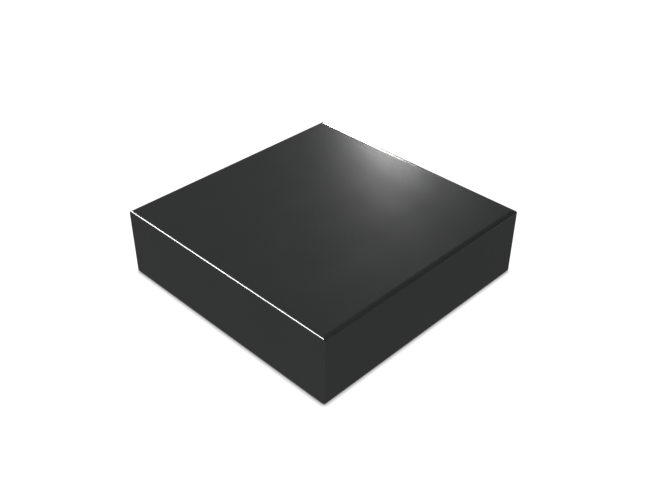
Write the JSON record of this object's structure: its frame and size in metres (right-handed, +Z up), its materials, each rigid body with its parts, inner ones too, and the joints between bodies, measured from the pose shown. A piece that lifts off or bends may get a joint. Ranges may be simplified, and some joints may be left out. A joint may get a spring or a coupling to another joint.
{
  "type": "streaming media player",
  "caption": "Square black streaming media player: one-piece housing on rubber feet, rear panel of sockets, heat-sunk main board, reset button and hinged optical shutter.",
  "frame": {"origin": "centre of the overall box, on the surface that the feet stand on", "axes": "+Z up, the plain front faces -Y, the sockets face +Y, +X is to the right seen from the front"},
  "size_m": [0.1, 0.1, 0.0276],
  "materials": {
    "housing_plastic": "satin, very fine moulded grain",
    "base_plastic": "matt, spark-eroded grain",
    "rubber": "matt",
    "steel": "bright tin plate",
    "screw_steel": "zinc plate",
    "aluminium": "extruded, satin",
    "gold_contact": "gold flash",
    "label_film": "satin film, blank",
    "circuit_board": "solder mask, semi-gloss",
    "module_board": "solder mask, semi-gloss",
    "chip_epoxy": "matt moulding compound",
    "thermal_pad": "soft, matt",
    "socket_plastic": "matt",
    "white_plastic": "matt",
    "clear_plastic": "clear moulding",
    "lens_plastic": "gloss, infrared-pass",
    "red_plastic": "gloss",
    "indicator_plastic": "translucent",
    "button_plastic": "satin",
    "cable_jacket": "satin",
    "component_mix": "ceramic chips",
    "pin_nylon": "nylon"
  },
  "bodies": {
    "chassis": {"top_housing": "housing_plastic", "base_plate": "base_plastic", "rear_panel": "base_plastic", "foot_front_left": "rubber", "foot_front_right": "rubber", "foot_rear_left": "rubber", "foot_rear_right": "rubber", "housing_screws": "screw_steel", "rating_label": "label_film", "main_board": "circuit_board", "board_screws": "screw_steel", "heat_spreader": "aluminium", "board_thermal_pad": "thermal_pad", "processor": "chip_epoxy", "memory_chips": "chip_epoxy", "flash_chip": "chip_epoxy", "power_chip": "chip_epoxy", "shield_frame": "steel", "shield_lid": "steel", "processor_thermal_pad": "thermal_pad", "lid_thermal_pad": "thermal_pad", "heat_sink": "aluminium", "heat_sink_pins": "pin_nylon", "heat_sink_springs": "steel", "wireless_module": "module_board", "antenna_left": "gold_contact", "antenna_right": "gold_contact", "antenna_cable_left": "cable_jacket", "antenna_cable_right": "cable_jacket", "infrared_receiver": "lens_plastic", "status_led": "white_plastic", "light_pipe": "clear_plastic", "ethernet_transformer": "chip_epoxy", "ethernet_chip": "chip_epoxy", "inductors": "chip_epoxy", "bulk_capacitors": "aluminium", "crystals": "steel", "surface_mount_parts": "component_mix", "dc_jack_body": "socket_plastic", "dc_jack_pin": "steel", "dc_jack_spring": "steel", "hdmi_shell": "steel", "hdmi_tongue": "socket_plastic", "hdmi_contacts": "gold_contact", "usb_shell": "steel", "usb_tongue": "white_plastic", "usb_contacts": "gold_contact", "optical_body": "socket_plastic", "optical_emitter": "red_plastic", "shutter_spring": "steel", "ethernet_shell": "steel", "ethernet_insert": "socket_plastic", "ethernet_contacts": "gold_contact", "ethernet_indicators": "indicator_plastic", "switch_body": "socket_plastic"},
    "reset_button": {"reset_button": "button_plastic"},
    "switch_plunger": {"switch_plunger": "red_plastic"},
    "optical_shutter": {"optical_shutter": "socket_plastic"}
  },
  "joints": [
    {"name": "reset_button_press", "type": "slide", "parent": "chassis", "child": "reset_button", "axis": [0, -1, 0], "range_m": [0, 0.0004], "stiffness_N_per_m": 2000, "springref_m": -0.0004},
    {"name": "switch_plunger_press", "type": "slide", "parent": "chassis", "child": "switch_plunger", "axis": [0, -1, 0], "range_m": [0, 0.0004]},
    {"name": "optical_shutter_swing", "type": "hinge", "parent": "chassis", "child": "optical_shutter", "pos_m": [0.001, 0.04785, 0.0155], "axis": [-1, 0, 0], "range_deg": [0, 85], "stiffness_Nm_per_rad": 0.0003, "springref_deg": -17.19, "deforming": ["shutter_spring"]}
  ],
  "couplings": [
    {"joint": "switch_plunger_press", "follows": "reset_button_press", "ratio": 1}
  ]
}
